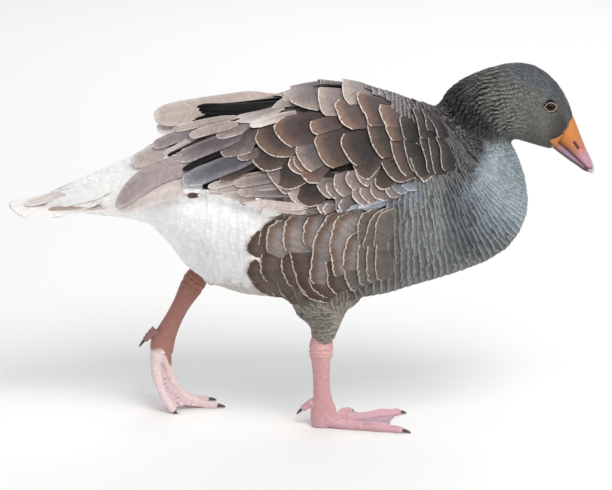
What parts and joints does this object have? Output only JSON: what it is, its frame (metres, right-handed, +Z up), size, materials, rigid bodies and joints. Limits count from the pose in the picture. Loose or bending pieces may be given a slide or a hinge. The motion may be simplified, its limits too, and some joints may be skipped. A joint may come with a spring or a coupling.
{
  "type": "domestic goose",
  "caption": "Life-size grey domestic goose of the greylag type, walking with its head lowered: plumage, bill, eyes, folded wings, tail, legs and webbed feet.",
  "frame": {"origin": "on the floor, under the middle of the bird's bounding box", "axes": "+X forward along the bird, from tail to bill; +Y to the bird's left; +Z up"},
  "size_m": [0.6721, 0.2234, 0.4203],
  "materials": {
    "face_plumage": "fine short feathers, dull, grey-brown",
    "breast_plumage": "soft overlapping feathers, grey with fine pale edges, white on the belly",
    "white_plumage": "soft white feathers",
    "wing_plumage": "firm rounded brown feathers with pale edges",
    "long_wing_feathers": "long greyish-pink feathers with pale edges",
    "flight_feathers": "stiff blackish feathers with a slight sheen",
    "tail_feathers": "stiff feathers, white with brownish-grey middles",
    "bill_horn": "smooth satin horn, orange, pinker towards the tip",
    "nail_horn": "hard smooth pale horn",
    "eye": "wet, dark brown",
    "leg_skin": "scaled skin, pink",
    "foot_skin": "scaled skin and smooth web, pink",
    "claw_horn": "hard dark grey horn"
  },
  "bodies": {
    "root": {"head": "face_plumage", "neck_upper": "face_plumage", "neck_lower": "breast_plumage", "trunk": "breast_plumage", "thigh_right": "breast_plumage", "thigh_left": "breast_plumage", "tail_coverts": "white_plumage", "wing_right": "wing_plumage", "wing_left": "wing_plumage", "tertials_right": "long_wing_feathers", "tertials_left": "long_wing_feathers", "primaries_right": "flight_feathers", "primaries_left": "flight_feathers", "tail": "tail_feathers", "bill_upper": "bill_horn", "bill_lower": "bill_horn", "bill_nail": "nail_horn", "eye_right": "eye", "eye_left": "eye", "shank_right": "leg_skin", "shank_left": "leg_skin", "foot_right": "foot_skin", "foot_left": "foot_skin", "claw_right_inner": "claw_horn", "claw_right_middle": "claw_horn", "claw_right_outer": "claw_horn", "claw_right_hind": "claw_horn", "claw_left_inner": "claw_horn", "claw_left_middle": "claw_horn", "claw_left_outer": "claw_horn", "claw_left_hind": "claw_horn"}
  },
  "joints": []
}
